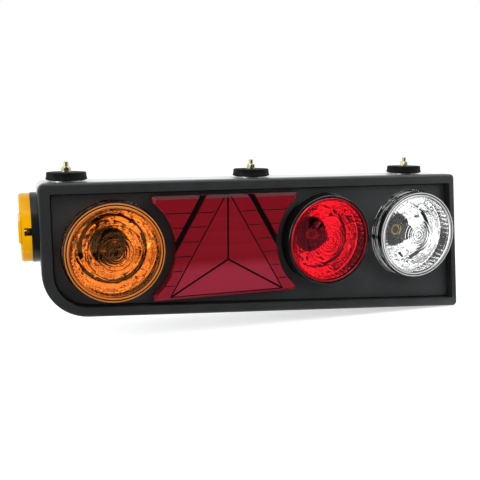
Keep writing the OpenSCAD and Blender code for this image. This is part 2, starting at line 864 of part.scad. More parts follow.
// Silvered tray behind the tail lens, with a flange, bulb holes and pillars for the triangle
module tail_tray() {
    color("#cfd1d2")
        at_face()
            difference() {
                union() {
                    difference() {
                        slab(tray_low, plate_back) tail_outline(tray_wall_in);
                        slab(tray_low + tray_t, 1) tail_outline(tray_wall_in + tray_t);
                    }
                    difference() {
                        union() {
                            slab(plate_back - tray_t, plate_back) tail_outline(0);
                            at_tray_screws()
                                slab(plate_back - tray_t, plate_back) circle(r = 4.6);
                        }
                        slab(plate_back - 2 * tray_t, 1) tail_outline(tray_wall_in + tray_t);
                    }
                    for (a = [210, 330])
                        translate([tail_x, triangle_y, 0])
                            rotate(a)
                                translate([triangle_r - pillar_in, 0, 0])
                                    slab(tray_low, tri_top - tri_t) circle(d = pillar_d);
                    translate([tail_x, tail_half_h - pillar_top_in, 0])
                        slab(tray_low, tri_top - tri_t) circle(d = pillar_d);
                }
                for (s = [-1, 1])
                    translate([tail_x + s * tail_bulb_x, tail_bulb_y, 0])
                        slab(tray_low - 1, tray_low + tray_t + 1)
                            circle(d = tail_holder_d + 0.6);
                at_tray_screws()
                    slab(plate_back - tray_t - 1, plate_back + 1) circle(d = lamp_screw_d + 0.5);
            }
}
tail_holder_d = 20;
tail_holder_rim = 3.5;
tail_bulb_rise = 15;
tail_bulb_z = tray_low + tail_bulb_rise;
tail_holder_out = 14;
tail_holder_low = tray_low - tail_holder_out;

module at_tail_bulbs() {
    at_face()
        for (s = [-1, 1])
            translate([tail_x + s * tail_bulb_x, tail_bulb_y, 0])
                children();
}
module tail_bulbs() color("#e8eef0", 0.5)
    at_tail_bulbs() bulb_glass(tail_bulb_d, tail_cap_d - 2, tail_bulb_z);
module tail_bulb_caps() color("#b08d3c")
    at_tail_bulbs()
        bulb_cap(tail_cap_d, tail_holder_low + 3, tail_bulb_z - tail_bulb_d * 0.86);
module tail_bulb_holders() color("#3a3a3a")
    at_tail_bulbs() {
        bulb_holder(tail_holder_d, tail_cap_d, tail_holder_low, tray_low + tray_t,
                    tail_holder_d);
        difference() {
            slab(tray_low - 3, tray_low) circle(r = tail_holder_d / 2 + tail_holder_rim);
            slab(tray_low - 4, tray_low + 1) circle(d = tail_holder_d - 1);
        }
    }

module tray_screws() {
    color("#9a9da0")
        at_face()
            at_tray_screws()
                translate([0, 0, plate_back - tray_t])
                    pan_screw(lamp_screw_d, 6.4, 2, tray_t + plate_t - 1.2);
}

marker_wire_d = 14;
marker_spigot_h = 2;
marker_screw_d = 4;
marker_screw_bite = wall + 3;
marker_head_d = 8;

// Black base of the side marker, with a step that the lens sits round
module marker_base() {
    color("#23272b")
        at_marker()
            difference() {
                union() {
                    cylinder(d = marker_d, h = marker_base_h - 1, $fn = 96);
                    intersection() {
                        translate([0, 0, -housing_step])
                            cylinder(r = marker_r - 2, h = housing_step + 1, $fn = 96);
                        translate([frame_d + seal_t + fit - marker_y, -marker_r, -5])
                            cube([marker_d, marker_d, 10]);
                    }
                    cylinder(r = marker_r - 0.9, h = marker_base_h, $fn = 96);
                    cylinder(r = marker_lens_r - marker_wall - fit,
                             h = marker_base_h + marker_spigot_h, $fn = 96);
                }
                translate([0, 0, -marker_base_h])
                    cylinder(d = marker_wire_d, h = 3 * marker_base_h);
                for (s = [-1, 1])
                    translate([s * marker_screw_at, 0, -marker_base_h])
                        cylinder(d = marker_screw_d, h = 3 * marker_base_h);
            }
}

marker_top = marker_base_h + marker_lens_h;
notch_w = 9;
notch_h = 8;
// Amber lens of the side marker: a rimmed disc with a raised band and two screw notches
module marker_lens() {
    band_w = 30;
    color("#ffae14", 0.75)
        at_marker()
            difference() {
                union() {
                    translate([0, 0, marker_base_h])
                        cylinder(r = marker_lens_r, h = marker_lens_h - 2, $fn = 96);
                    translate([0, 0, marker_top - 2])
                        cylinder(r1 = marker_lens_r, r2 = marker_lens_r - 2, h = 2, $fn = 96);
                    intersection() {
                        translate([0, 0, marker_base_h + 1])
                            cylinder(r = marker_lens_r, h = marker_lens_h + 4, $fn = 96);
                        rotate([90, 0, 90])
                            translate([0, 0, -marker_lens_r - 1])
                                linear_extrude(2 * marker_lens_r + 2)
                                    polygon([[-band_w / 2, marker_top - 1],
                                             [-band_w / 2 + 3, marker_top + marker_band_h],
                                             [band_w / 2 - 3, marker_top + marker_band_h],
                                             [band_w / 2, marker_top - 1]]);
                    }
                }
                translate([0, 0, marker_base_h - 1])
                    cylinder(r = marker_lens_r - marker_wall, h = marker_lens_h - marker_wall + 1,
                             $fn = 96);
                for (s = [-1, 1]) {
                    translate([s * marker_screw_at, 0, 0])
                        cylinder(d = notch_w - 3, h = 2 * marker_top);
                    translate([s * marker_screw_at, 0, marker_base_h - 1])
                        cylinder(d = notch_w, h = notch_h + 1);
                    translate([s > 0 ? marker_screw_at : -marker_r - 5, -notch_w / 2,
                               marker_base_h - 1])
                        cube([marker_r + 5 - marker_screw_at, notch_w, notch_h + 1]);
                }
            }
}

module marker_screws() {
    color("#6a3420")
        at_marker()
            for (s = [-1, 1])
                translate([s * marker_screw_at, 0, marker_base_h + marker_spigot_h]) {
                    translate([0, 0, -marker_base_h - marker_spigot_h - marker_screw_bite])
                        cylinder(d = marker_screw_d,
                                 h = marker_base_h + marker_spigot_h + marker_screw_bite);
                    difference() {
                        cylinder(d = marker_head_d, h = 3.2, $fn = 6);
                        for (a = [0, 90])
                            rotate(a) translate([-2.4, -0.5, 2.2]) cube([4.8, 1, 2]);
                    }
                }
}

module marker_bulb_holder() {
    color("#3a3a3a")
        at_marker()
            difference() {
                union() {
                    translate([0, 0, -6]) cylinder(d = marker_wire_d, h = marker_base_h + 8);
                    translate([0, 0, marker_base_h + 2]) cylinder(d = 19, h = 1.6);
                }
                translate([-5, -1.4, marker_base_h - 3]) cube([10, 2.8, 20]);
            }
}

// Wedge bulb in the marker: a flat glass foot and a small round envelope
module marker_bulb() {
    color("#e8eef0", 0.5)
        at_marker() {
            translate([-4.6, -1.3, marker_base_h - 3]) cube([9.2, 2.6, 8]);
            translate([0, 0, marker_base_h + 4.6])
                cylinder(d = 9.2, h = marker_lens_h - marker_wall - 6);
        }
}

// Rubber buffer: waisted disc, a little wider at its foot
module buffer_form() {
    translate([0, 0, -buffer_h])
        difference() {
            rotate_extrude($fn = 96)
                polygon([
                    [0, 0],
                    [buffer_d / 2 - 3, 0],
                    [buffer_d / 2, 1.4],
                    [buffer_d / 2 - 0.2, 2.4],
                    [buffer_d / 2 - 0.9, buffer_h * 0.5],
                    [buffer_d / 2 - 1.2, buffer_h - 0.8],
                    [buffer_d / 2 - 1.8, buffer_h],
                    [0, buffer_h]
                ]);
            translate([0, 0, -1]) cylinder(d = stud_d, h = buffer_h + 2);
        }
}
module left_buffer() color("#111111") translate([-stud_pitch, 0, 0]) buffer_form();
module centre_buffer() color("#111111") buffer_form();
module right_buffer() color("#111111") translate([stud_pitch, 0, 0]) buffer_form();

module flat_ring(d, bore, z0, z1) {
    translate([0, 0, z0])
        difference() {
            cylinder(d = d, h = z1 - z0);
            translate([0, 0, -1]) cylinder(d = bore, h = z1 - z0 + 2);
        }
}

module buffer_plates() {
    color("#a9adad")
        at_studs()
            flat_ring(buffer_plate_d, stud_d, -buffer_h - buffer_plate_t, -buffer_h);
}

inner_low = -buffer_h - buffer_plate_t - wall;
inner_washer_d = 18;
module inner_washers() {
    color("#a9adad")
        at_studs()
            flat_ring(inner_washer_d, stud_d, inner_low - washer_t, inner_low);
}

// In the nut, bolt and nut meet at their threads' pitch diameter
thread_d = stud_d * 0.892;
nut_top = washer_t + nut_t;
module mount_bolts() {
    color("#b9a95c")
        at_studs() {
            translate([0, 0, inner_low - washer_t])
                cylinder(d = stud_d, h = 2 * washer_t - inner_low);
            cylinder(d = thread_d, h = nut_top + 1);
            translate([0, 0, nut_top])
                cylinder(d = stud_d, h = stud_h - nut_top - 0.8);
            translate([0, 0, stud_h - 0.8])
                cylinder(d1 = stud_d, d2 = stud_d - 1.6, h = 0.8);
            translate([0, 0, inner_low - washer_t - bolt_head_t])
                cylinder(d = nut_af / cos(30), h = bolt_head_t, $fn = 6);
        }
}

module mount_washers() {
    color("#b9a95c")
        at_studs()
            flat_ring(stud_d * 2, stud_d, 0, washer_t);
}

module mount_nuts() {
    color("#b9a95c")
        at_studs()
            translate([0, 0, washer_t])
                difference() {
                    intersection() {
                        cylinder(d = nut_af / cos(30), h = nut_t, $fn = 6);
                        translate([0, 0, -1])
                            cylinder(d1 = nut_af + 5, d2 = nut_af - 0.4, h = nut_t + 1.01);
                    }
                    translate([0, 0, -1]) cylinder(d = thread_d, h = nut_t + 2);
                }
}

module at_gland() {
    at_face()
        translate([gland_x, gland_z, -total_d])
            children();
}

gland_out = 14;
module gland_seal() {
    color("#161616")
        at_gland()
            flat_ring(gland_d + 8, gland_d, -1.5, 0);
}

// Gland for the cable: a threaded body with a hexagon and a domed mouth
module gland_body() {
    color("#232323")
        at_gland()
            difference() {
                union() {
                    translate([0, 0, -1.5]) cylinder(d = gland_d, h = 1.5 + wall + 8);
                    translate([0, 0, -6.5]) cylinder(d = gland_d * 1.5, h = 5, $fn = 6);
                    rotate_extrude()
                        polygon([[0, -gland_out], [gland_d * 0.38, -gland_out],
                                 [gland_d * 0.52, -gland_out + 3], [gland_d * 0.58, -6],
                                 [0, -6]]);
                }
                translate([0, 0, -gland_out - 1]) cylinder(d = gland_bore, h = gland_out + wall + 10);
            }
}

// Terminal block on the back wall: six cells with wire mouths below and clamp screws on top
block_cells = 6;
cell_w = 10;
block_h = 13;
block_d = 20;
block_y = -20;
mouth_z = 6;
clamp_d = 4;
clamp_in = 5;
module at_block() {
    at_face()
        translate([tail_x - block_cells * cell_w / 2, block_y, -total_d + wall])
            children();
}
module terminal_block() {
    color("#e4e2d6")
        at_block()
            difference() {
                cube([block_cells * cell_w, block_d, block_h]);
                for (i = [0:block_cells - 1])
                    translate([(i + 0.5) * cell_w, 0, 0]) {
                        translate([0, -1, mouth_z])
                            rotate([-90, 0, 0]) cylinder(d = clamp_d, h = block_d + 2);
                        for (y = [clamp_in, block_d - clamp_in])
                            translate([0, y, mouth_z]) cylinder(d = clamp_d, h = block_h);
                    }
                for (i = [1:block_cells - 1])
                    translate([i * cell_w - 0.6, -1, 9]) cube([1.2, block_d + 2, block_h]);
            }
}
module terminal_screws() {
    color("#c2b06a")
        at_block()
            for (i = [0:block_cells - 1], y = [clamp_in, block_d - clamp_in])
                translate([(i + 0.5) * cell_w, y, mouth_z + 1])
                    difference() {
                        cylinder(d = clamp_d, h = 4.5);
                        translate([-2.5, -0.4, 3.7]) cube([5, 0.8, 2]);
                    }
}

module gland_nut() {
    color("#232323")
        at_gland()
            translate([0, 0, wall])
                difference() {
                    cylinder(d = gland_d * 1.4, h = 5, $fn = 6);
                    translate([0, 0, -1]) cylinder(d = gland_d, h = 7);
                }
}

front_frame();
lamp_plate();
housing_seal();
rear_housing();
frame_screws();
indicator_lens();
indicator_seal();
indicator_reflector();
indicator_bulb();
indicator_bulb_cap();
indicator_bulb_holder();
indicator_body();
stop_lens();
stop_seal();
stop_reflector();
stop_bulb();
stop_bulb_cap();
stop_bulb_holder();
stop_body();
reversing_lens();
reversing_seal();
reversing_reflector();
reversing_bulb();
reversing_bulb_cap();
reversing_bulb_holder();
reversing_body();
lamp_screws();
tail_lens();
tail_seal();
triangle_reflector();
tail_dividers();
tail_tray();
tail_bulbs();
tail_bulb_caps();
tail_bulb_holders();
tray_screws();
marker_base();
marker_lens();
marker_bulb();
marker_bulb_holder();
marker_screws();
left_buffer();
centre_buffer();
right_buffer();
buffer_plates();
mount_bolts();
inner_washers();
mount_washers();
mount_nuts();
gland_body();
gland_nut();
gland_seal();
terminal_block();
terminal_screws();
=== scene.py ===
"""Looks of the tail light cluster: materials, finer lenses and reflectors, light and camera round the
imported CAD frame."""

import json
import math
import random

import bmesh
import bpy
from bpy.props import FloatProperty, FloatVectorProperty, PointerProperty
from mathutils import Matrix, Vector


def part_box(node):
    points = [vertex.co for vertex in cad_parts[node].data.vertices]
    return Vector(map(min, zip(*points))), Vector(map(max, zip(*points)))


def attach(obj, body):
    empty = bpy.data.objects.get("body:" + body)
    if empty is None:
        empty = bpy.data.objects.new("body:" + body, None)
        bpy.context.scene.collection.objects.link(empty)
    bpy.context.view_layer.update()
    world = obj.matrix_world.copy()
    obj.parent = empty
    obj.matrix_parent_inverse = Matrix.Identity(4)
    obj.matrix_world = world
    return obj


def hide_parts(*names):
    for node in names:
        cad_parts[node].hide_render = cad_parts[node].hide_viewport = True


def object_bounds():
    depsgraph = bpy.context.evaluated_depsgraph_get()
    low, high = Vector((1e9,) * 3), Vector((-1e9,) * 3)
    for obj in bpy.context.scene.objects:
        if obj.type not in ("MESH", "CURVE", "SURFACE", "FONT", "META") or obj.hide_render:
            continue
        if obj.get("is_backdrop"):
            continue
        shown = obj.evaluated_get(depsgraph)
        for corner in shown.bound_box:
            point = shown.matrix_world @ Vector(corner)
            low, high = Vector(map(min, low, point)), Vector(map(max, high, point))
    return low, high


bl_info = {
    "name": "Tail light cluster",
    "version": (1, 0, 0),
    "blender": (4, 5, 0),
    "location": "View3D > Sidebar > Tail light",
    "description": "Dresses the packed tail light cluster with its materials, lenses and light",
    "category": "Object",
}

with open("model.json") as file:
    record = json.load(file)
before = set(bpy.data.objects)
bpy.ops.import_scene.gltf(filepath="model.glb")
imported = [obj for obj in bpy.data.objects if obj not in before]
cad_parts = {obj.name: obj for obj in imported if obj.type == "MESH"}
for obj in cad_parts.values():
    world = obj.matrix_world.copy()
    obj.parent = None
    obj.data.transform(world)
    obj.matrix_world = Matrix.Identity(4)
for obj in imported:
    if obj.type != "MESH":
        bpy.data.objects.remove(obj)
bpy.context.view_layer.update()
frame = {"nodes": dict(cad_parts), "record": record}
NODES = frame["nodes"]
ROOT = "root"
MM = 0.001
# Materials by the record's slot or by the detail that they are for, filled by make_materials
FINISHES = {}
# Nodes whose look differs from that of their slot
OWN_FINISH = {"triangle_reflector": "triangle_red"}


# Edges that turn by more than this stay crisp, in degrees
CAD_CREASE = 24
LENS_CREASE = 30
REFLECTOR_CREASE = 12


# Round lenses in their own frame, in millimetres, with z towards the viewer

LENS_R = 61.0
LENS_RIM = 11.0
LENS_DOME = 2.6
LENS_WALL = 2.6
LENS_BASE = -9.0
LENS_STEPS = 288
FACE_R = LENS_R - 6.9
FLANGE_R = 63.0
SPIGOT_R = 57.85
SPIGOT_IN = SPIGOT_R - 1.8
SPIGOT_TOP = LENS_RIM - LENS_WALL - 1.6
SPIGOT_LOW = -15.0
# Radius and height from the flange up the skirt
FLANGE = (
    (FLANGE_R, LENS_BASE), (FLANGE_R, LENS_BASE + 1.9), (FLANGE_R - 0.3, LENS_BASE + 2.2),
    (LENS_R + 1.1, LENS_BASE + 2.4), (LENS_R + 0.9, LENS_BASE + 2.9), (LENS_R + 0.5, 0.0),
)
# Two beads and the grooves beside them, from the skirt in to the face: steps from LENS_R and from
# LENS_RIM
BEADS = (
    (0.0, -2.6), (-0.1, -1.6), (-0.45, -0.8), (-1.1, -0.2), (-1.8, 0.0), (-2.5, -0.2), (-3.0, -0.9),
    (-3.6, -1.0), (-4.0, -0.4), (-4.6, 0.0), (-5.6, 0.0), (-6.2, -0.6), (-6.6, -0.6), (-6.9, 0.0),
)
# Radii of the rows on the face, and of those behind it on both sides of the rings
FACE_SPOTS = range(51, 0, -5)
INNER_SPOTS = (0.5, 2.5)
OUTER_SPOTS = (38.0, 41.0, 44.0, 47.0, 49.0, 49.9, 50.1, 51.0, 51.8, 52.5, 52.8)
# Moulded rings behind the face, each with its radius and height, and the prisms outside them
RINGS = ((4.5, 0.1), (8.9, 0.1), (11.6, 0.1), (16.0, 0.08), (21.0, 0.08), (33.0, 0.05))
RING_HALF = 0.6
RING_GAP = 1.4
PRISMS = 72
PRISM_IN = 50.0
PRISM_OUT = 52.6
PRISM_HIGH = 0.35

# Where a lens changes its look: steps in or out from LENS_R and up or down from LENS_RIM, and the
# half width of the dark line along a ring
PAINT_IN = 2.7
PAINT_UP = 0.5
RIM_IN = 7.2
RIM_DOWN = 1.8
GROOVE_IN = 2.6
GROOVE_DOWN = 0.35
SHOULDER = (1.1, 0.05)
SKIRT_OUT = 0.2
# The line along a ring is painted shade, where the ring's steep moulded faces look dark
RING_LINE = 0.45
# The reversing lens has lines of painted shade along this many of its inner rings only
CLEAR_LINES = 3
RIM, SKIRT, SHADE = 1, 2, 3


# Reflectors in the same frame, in millimetres

HOLE_R = 24.0
BOWL_LOW = -50.0
BOWL_R = 53.0
FOCAL = 17.02
RIM_TOP = 6.6
REFLECTOR_R = 55.5
REFLECTOR_STEPS = 576
REFLECTOR_SEED = 3
# Each band of flat facets: start and end radius, facets round it, how far their edges tip, whether
# the tips alternate, and how far the band is raised over the parabola
BANDS = (
    (24.0, 25.6, 36, 0.3, True, 0.0),
    (25.6, 32.4, 36, 0.5, True, 0.0),
    (32.6, 42.2, 9, 1.0, False, 0.0),
    (44.2, 48.8, 16, 0.4, False, 5.0),
    (49.2, 53.0, 36, 0.3, False, 5.0),
)
FACET_ROWS = 6
# Facets meet over their outer twelfth, so no gap opens between two that lean apart
FACET_FADE = 12
# The fluted wall: flutes round it, its rows as shares of its height, and how deep the flutes are at
# its foot and how much more at its top
FLUTES = 48
WALL_STEPS = (0.0, 0.3, 0.34, 0.64, 0.68, 1.0)
WALL_FOOT = 0.5
WALL_IN = 0.4
FLUTE_DEEP = 0.3
FLUTE_GROWS = 0.1
# The back of the shell: a radius on its slope, and its thickness there and at the hole
BACK_R = 38.5
BACK_WALL = 2.7
HOLE_WALL = 2.2


# The tail lens, in metres

# Between what depths behind its face the floors of its channels and of its grooves lie
CHANNEL_DEPTH = (0.003, 0.0048)
GROOVE_DEPTH = (0.0008, 0.0016)
CHANNEL, GROOVE, BEVEL = 1, 2, 3
# How far the drawn triangle's corners stand out past the reflector's, how much wider its outline is
# than its spokes, between what heights its tone turns paler, and the pitch of its level bands
TRIANGLE_OUT = 0.004
OUTLINE_WIDER = 1.3
PALE_FROM = -0.012
PALE_TO = 0.001
BAND_PITCH = 0.0182
# How much paler the tone turns over each band, and below the centre outside the triangle
# The banded tone is painted shade of the stepped ribs behind the lens
BAND_PAINTED_SHADE = 0.16
PALE_OUTSIDE = 0.5
# Limits on the normals of the floors, along y, and of the top bevel, along z and along y
FLOOR_FACES = -0.9
BEVEL_RISES = 0.3
BEVEL_FACES = (-0.95, -0.3)


# The stage, in metres

WHITE = "#ffffff"
BLACK = "#050505"
FLOOR_HALF = 40.0
FLOOR_GAP = 0.0005
CARD_GAP = 0.001
# Strength of the world as light, and of world and floor where they are seen and through a lens
WORLD_LIGHT = 0.55
WORLD_SEEN = (1.0, 1.25)
FLOOR_SEEN = (0.5, 0.9)
# Area lamps: place, target and size
LAMPS = {
    "key": ((0.1, -0.3, 1.3), (0.0, 0.0, -0.1), (1.6, 1.2)),
    "fill": ((1.3, -1.4, 0.9), (0.1, 0.0, -0.1), (0.9, 0.9)),
    "side": ((-1.6, -0.4, 0.3), (-0.25, 0.0, -0.08), (0.8, 0.8)),
}
# The bent dark card in front, which only gloss sees: its left and right edge, its section as y and
# the height above the ground, and the y and z of its top edge
DARK_X = (-1.2, 1.0)
DARK_SECTION = ((-0.07, 0.0), (-0.8, 0.0), (-0.93, 0.05), (-0.98, 0.2))
DARK_TOP = (-0.98, 1.6)
# The lit card that draws a line along the top edges: its ends, and the y and z of its edges. Then
# the black mat on the floor that the bowls mirror
GLEAM_X = (-1.7, 1.3)
GLEAM_SECTION = ((-0.85, 0.95), (-0.6, 1.15))
MAT_X = (-0.28, 0.14)
MAT_Y = (-0.4, -0.75)
# Upright cards that the bowls mirror, black slats and lit strips: left edge, width, foot and top,
# and the strength of a strip
SLAT_Y = -1.3
SLATS = (
    (-1.25, 0.12, -0.2, 1.2), (-0.42, 0.14, 0.0, 0.4), (0.5, 0.12, -0.2, 1.3),
    (1.2, 0.3, -0.2, 0.9), (-0.2, 0.06, -0.2, 0.9), (-2.05, 0.16, -0.2, 1.0),
    (-1.65, 0.16, -0.2, 0.6), (-0.75, 0.12, -0.2, 0.5),
)
STRIP_Y = -1.4
STRIPS = ((-2.2, 1.6, -0.2, 1.5, 1.25), (-0.35, 0.5, 0.4, 1.5, 1.5), (0.4, 1.2, 0.1, 1.5, 1.5))
# Small cards strewn in front of them: lit ones that make glints, and black ones for dark marks
SPOT_SEED = 11
SPOT_Y = -1.27
SPOT_X = (-2.0, 1.5)
SPOT_Z = (-0.14, 1.3)
GLINTS = 9
GLINT_SIZE = (0.09, 0.12)
GLINT_GLOW = 5.0
MARKS = 6
MARK_WIDE = (0.3, 0.5)
MARK_TALL = (0.16, 0.3)
CAMERA_PLACE = (-0.30138, -0.79642, 0.04207)
CAMERA_YAW = 19.73
CAMERA_PITCH = -9.34
CAMERA_SENSOR = 36.0
CAMERA_NEAR = 0.01


# Colour and nodes


def linear(text):
    """An sRGB hex colour as linear RGBA."""
    parts = [int(text[i : i + 2], 16) / 255 for i in (1, 3, 5)]
    return tuple(c / 12.92 if c <= 0.04045 else ((c + 0.055) / 1.055) ** 2.4 for c in parts) + (1.0,)


def add_node(tree, kind, links=None, values=None, **settings):
    """Adds a node; settings name its properties or sockets, links its sockets' sources, which are
    sockets or nodes that stand for their first one, and values gives sockets by number."""
    node = tree.nodes.new(kind)
    for name, value in settings.items():
        socket = name.replace("_", " ")
        if hasattr(node, name):
            setattr(node, name, value)
        else:
            node.inputs[socket].default_value = value
    for number, value in (values or {}).items():
        node.inputs[number].default_value = value
    for name, source in (links or {}).items():
        first = source.outputs[0] if isinstance(source, bpy.types.Node) else source
        tree.links.new(first, node.inputs[name])
    return node


def new_material(name, **shader):
    """A material with one Principled shader; shader gives its sockets."""
    made = bpy.data.materials.new(name)
    made.use_nodes = True
    made.node_tree.nodes.clear()
    body = made.node_tree.nodes.new("ShaderNodeBsdfPrincipled")
    for socket, value in shader.items():
        body.inputs[socket.replace("_", " ")].default_value = value
    out = made.node_tree.nodes.new("ShaderNodeOutputMaterial")
    made.node_tree.links.new(body.outputs[0], out.inputs["Surface"])
    return made, made.node_tree, body


def object_place(tree):
    """Object coordinates, in metres, the same for every node because each sits at the origin."""
    return tree.nodes.new("ShaderNodeTexCoord").outputs["Object"]


def grain(tree, body, size, height, detail=3.0, edge=0.0):
    """Bump from noise whose features are size millimetres wide and height millimetres high, over
    edges rounded to a radius in millimetres."""
    noise = add_node(
        tree,
        "ShaderNodeTexNoise",
        {"Vector": object_place(tree)},
        Scale=1.0 / (size * MM),
        Detail=detail,
        Roughness=0.6,
    )
    bump = add_node(
        tree, "ShaderNodeBump", {"Height": noise.outputs["Fac"]}, Strength=0.6, Distance=height * MM
    )
    if edge:
        rounded = add_node(tree, "ShaderNodeBevel", samples=6, Radius=edge * MM)
        tree.links.new(rounded.outputs[0], bump.inputs["Normal"])
    tree.links.new(bump.outputs[0], body.inputs["Normal"])


def vary(tree, body, socket, size, low, high):
    """Slow change of a socket between two values over patches size millimetres wide."""
    start, end = 0.35, 0.65
    noise = add_node(
        tree,
        "ShaderNodeTexNoise",
        {"Vector": object_place(tree)},
        Scale=1.0 / (size * MM),
        Detail=4.0,
    )
    if isinstance(low, tuple):
        ramp = add_node(tree, "ShaderNodeValToRGB", {"Fac": noise.outputs["Fac"]})
        for stop, position, colour in zip(ramp.color_ramp.elements, (start, end), (low, high)):
            stop.position = position
            stop.color = colour
        tree.links.new(ramp.outputs["Color"], body.inputs[socket])
    else:
        span = add_node(
            tree,
            "ShaderNodeMapRange",
            {"Value": noise.outputs["Fac"]},
            From_Min=start,
            From_Max=end,
            To_Min=low,
            To_Max=high,
        )
        tree.links.new(span.outputs[0], body.inputs[socket])


# Meshes


def lamp_place(node):
    """Matrix from a lamp's own frame, in millimetres with z towards the viewer, to the model."""
    low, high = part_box(node)
    turn = Matrix(((MM, 0, 0, 0), (0, 0, -MM, 0), (0, MM, 0, 0), (0, 0, 0, 1)))
    top = (LENS_RIM + LENS_DOME) * MM
    return Matrix.Translation(((low.x + high.x) / 2, low.y + top, (low.z + high.z) / 2)) @ turn


def ring_piece(name, rows, steps, place):
    """A closed ring-shaped solid. Each row is a function of the angle that gives radius and height in
    millimetres; a radius of 0 closes to a point."""
    made = bmesh.new()
    grid = []
    for row in rows:
        first = row(0.0)
        if first[0] == 0:
            grid.append([made.verts.new((0, 0, first[1]))] * steps)
            continue
        line = []
        for j in range(steps):
            angle = 2 * math.pi * j / steps
            radius, height = row(angle)
            line.append(made.verts.new((radius * math.cos(angle), radius * math.sin(angle), height)))
        grid.append(line)
    for i, a in enumerate(grid):
        b = grid[(i + 1) % len(grid)]
        if a[0] is a[-1] and b[0] is b[-1]:
            continue
        for j in range(steps):
            k = (j + 1) % steps
            corners = [a[j], a[k], b[k], b[j]]
            corners = [v for n, v in enumerate(corners) if v not in corners[:n]]
            made.faces.new(corners).smooth = True
    bmesh.ops.recalc_face_normals(made, faces=made.faces)
    made.transform(place)
    mesh = bpy.data.meshes.new(name)
    made.to_mesh(mesh)
    made.free()
    piece = bpy.data.objects.new(name, mesh)
    bpy.context.scene.collection.objects.link(piece)
    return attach(piece, ROOT)


def plain(radius, height):
    """A row of one radius and height all round."""
    return lambda angle: (radius, height)


def dome(radius):
    """Height of a lens's face at a radius."""
    return LENS_RIM + LENS_DOME * (1 - (radius / FACE_R) ** 2)


def saw(value):
    """A ramp from 0 to 1 that starts again at each whole number."""
    return value - math.floor(value)


def tent(value):
    """A ridge from 0 up to 1 and down again over each whole number."""
    return 1 - abs(2 * saw(value) - 1)


def relief(radius, angle):
    """Thickness added behind a lens's face: thin moulded rings and a ring of prisms near the rim."""
    for centre, high in RINGS:
        if abs(radius - centre) < RING_HALF:
            return high * (1 - ((radius - centre) / RING_HALF) ** 2)
    if PRISM_IN < radius < PRISM_OUT:
        return PRISM_HIGH * tent(angle * PRISMS / (2 * math.pi))
    return 0.0


def behind_face(radius):
    """A row on the back of a lens's face."""
    return lambda angle: (radius, dome(radius) - LENS_WALL - relief(radius, angle))


def lens_rows():
    """Rows of a lens from its flange over the rim and dome, back under the face to the spigot."""
    made = [plain(*row) for row in FLANGE]
    made += [plain(LENS_R + step, LENS_RIM + up) for step, up in BEADS]
    made += [plain(radius, dome(radius)) for radius in FACE_SPOTS]
    made += [plain(0, dome(0)), plain(0, dome(0) - LENS_WALL)]
    spots = list(INNER_SPOTS)
    for centre, _ in RINGS:
        spots += [centre + RING_HALF * n / 3 for n in range(-3, 4)]
        spots.append(centre + RING_HALF + RING_GAP)
    made += [behind_face(radius) for radius in (*spots, *OUTER_SPOTS)]
    made += [
        plain(SPIGOT_IN, SPIGOT_TOP),
        plain(SPIGOT_IN, 0.0),
        plain(SPIGOT_IN, SPIGOT_LOW),
        plain(SPIGOT_R, SPIGOT_LOW),
        plain(SPIGOT_R, LENS_BASE),
    ]
    return made


def bowl(radius):
    """Height of the reflector's parabola at a radius."""
    return BOWL_LOW + (radius * radius - HOLE_R * HOLE_R) / (4 * FOCAL)


def facet_row(radius, across, leans, turned, raised):
    """A row through a band of flat facets. Leans gives each facet's tip along and across the band,
    and across runs from -1 to 1 over it."""

    def row(angle):
        place = angle * len(leans) / (2 * math.pi) + turned
        side, tip = leans[int(place) % len(leans)]
        along = 2 * saw(place) - 1
        fade = min(1.0, (1 - abs(along)) * FACET_FADE) * min(1.0, (1 - abs(across)) * FACET_FADE)
        return radius, bowl(radius) + raised + (side * along + tip * across) * fade

    return row


def flute_row(height, deep):
    """A row of hollow flutes round the wall of the bowl."""

    def row(angle):
        along = 2 * saw(angle * FLUTES / (2 * math.pi)) - 1
        return BOWL_R + WALL_IN + deep * (1 - along * along), height

    return row


def reflector_rows(seed):
    """Rows of a reflector, from its hole over the bands and the fluted wall, back round its shell.
    Each facet leans by a seeded amount."""
    pick = random.Random(seed)
    rows = []
    for start, end, cells, tilt, flips, raised in BANDS:
        if flips:
            leans = [(tilt * (-1) ** k, pick.uniform(-tilt, tilt) / 3) for k in range(cells)]
        else:
            leans = [(pick.uniform(-tilt, tilt), pick.uniform(-tilt, tilt)) for _ in range(cells)]
        turned = 0.5 * pick.randrange(2)
        for n in range(FACET_ROWS + 1):
            radius = start + (end - start) * n / FACET_ROWS
            rows.append(facet_row(radius, 2 * n / FACET_ROWS - 1, leans, turned, raised))
    foot = bowl(BOWL_R) + BANDS[-1][-1] + WALL_FOOT
    for step in WALL_STEPS:
        rows.append(flute_row(foot + (RIM_TOP - foot) * step, FLUTE_DEEP + FLUTE_GROWS * step))
    rows += [
        plain(REFLECTOR_R, RIM_TOP),
        plain(REFLECTOR_R, bowl(BOWL_R)),
        plain(BACK_R, bowl(BACK_R) - BACK_WALL),
        plain(HOLE_R, BOWL_LOW - HOLE_WALL),
    ]
    return rows


